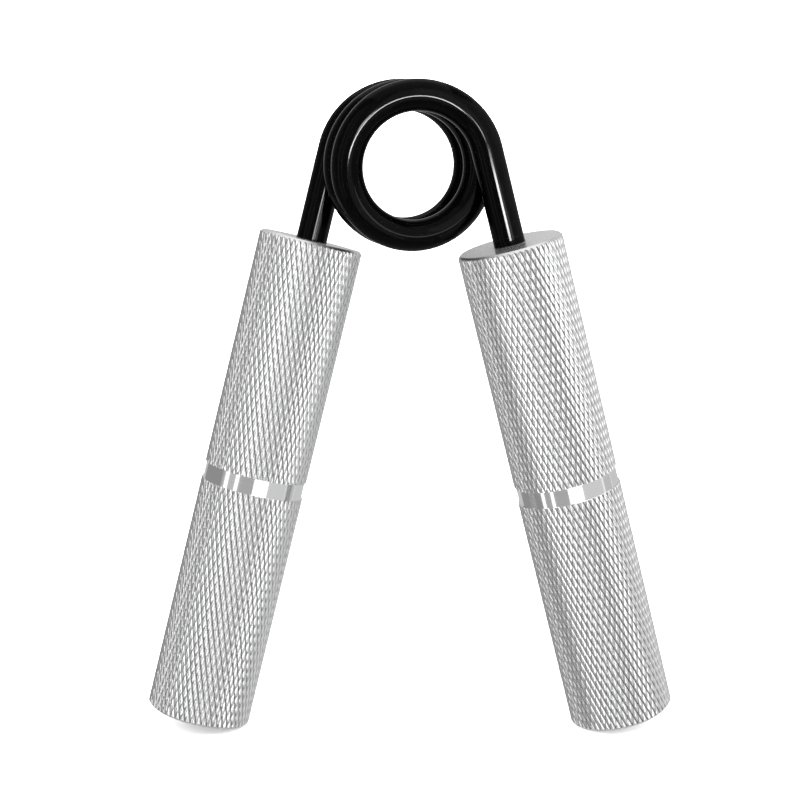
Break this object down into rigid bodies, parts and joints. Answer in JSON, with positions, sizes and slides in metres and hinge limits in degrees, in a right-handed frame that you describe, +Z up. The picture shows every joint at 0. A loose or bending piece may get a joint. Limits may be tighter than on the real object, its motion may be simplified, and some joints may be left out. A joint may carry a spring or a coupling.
{
  "type": "hand grip strengthener",
  "caption": "Hand grip strengthener: two knurled aluminium handles with a plain middle groove, pressed onto the splayed legs of one black coiled torsion spring that they squeeze shut.",
  "frame": {"origin": "middle of the spring's coil, on the coil's axis, about which the handles swing", "axes": "+Z up, with the coil on top and the handles hanging; +Y along the coil's axis from the front leg to the rear leg; +X to the right, the side of the front leg and its handle"},
  "size_m": [0.1098, 0.0414, 0.1367],
  "materials": {
    "spring_steel": "gloss black coating on round spring wire",
    "handle_aluminium": "bright diamond knurl with turned end faces and a plain turned groove"
  },
  "bodies": {
    "left_side": {"torsion_spring": "spring_steel", "left_handle": "handle_aluminium"},
    "right_side": {"spring_front_leg": "spring_steel", "right_handle": "handle_aluminium"}
  },
  "joints": [
    {"name": "squeeze", "type": "hinge", "parent": "left_side", "child": "right_side", "pos_m": [0, 0, 0], "axis": [0, 1, 0], "range_deg": [0, 36], "stiffness_Nm_per_rad": 80}
  ]
}
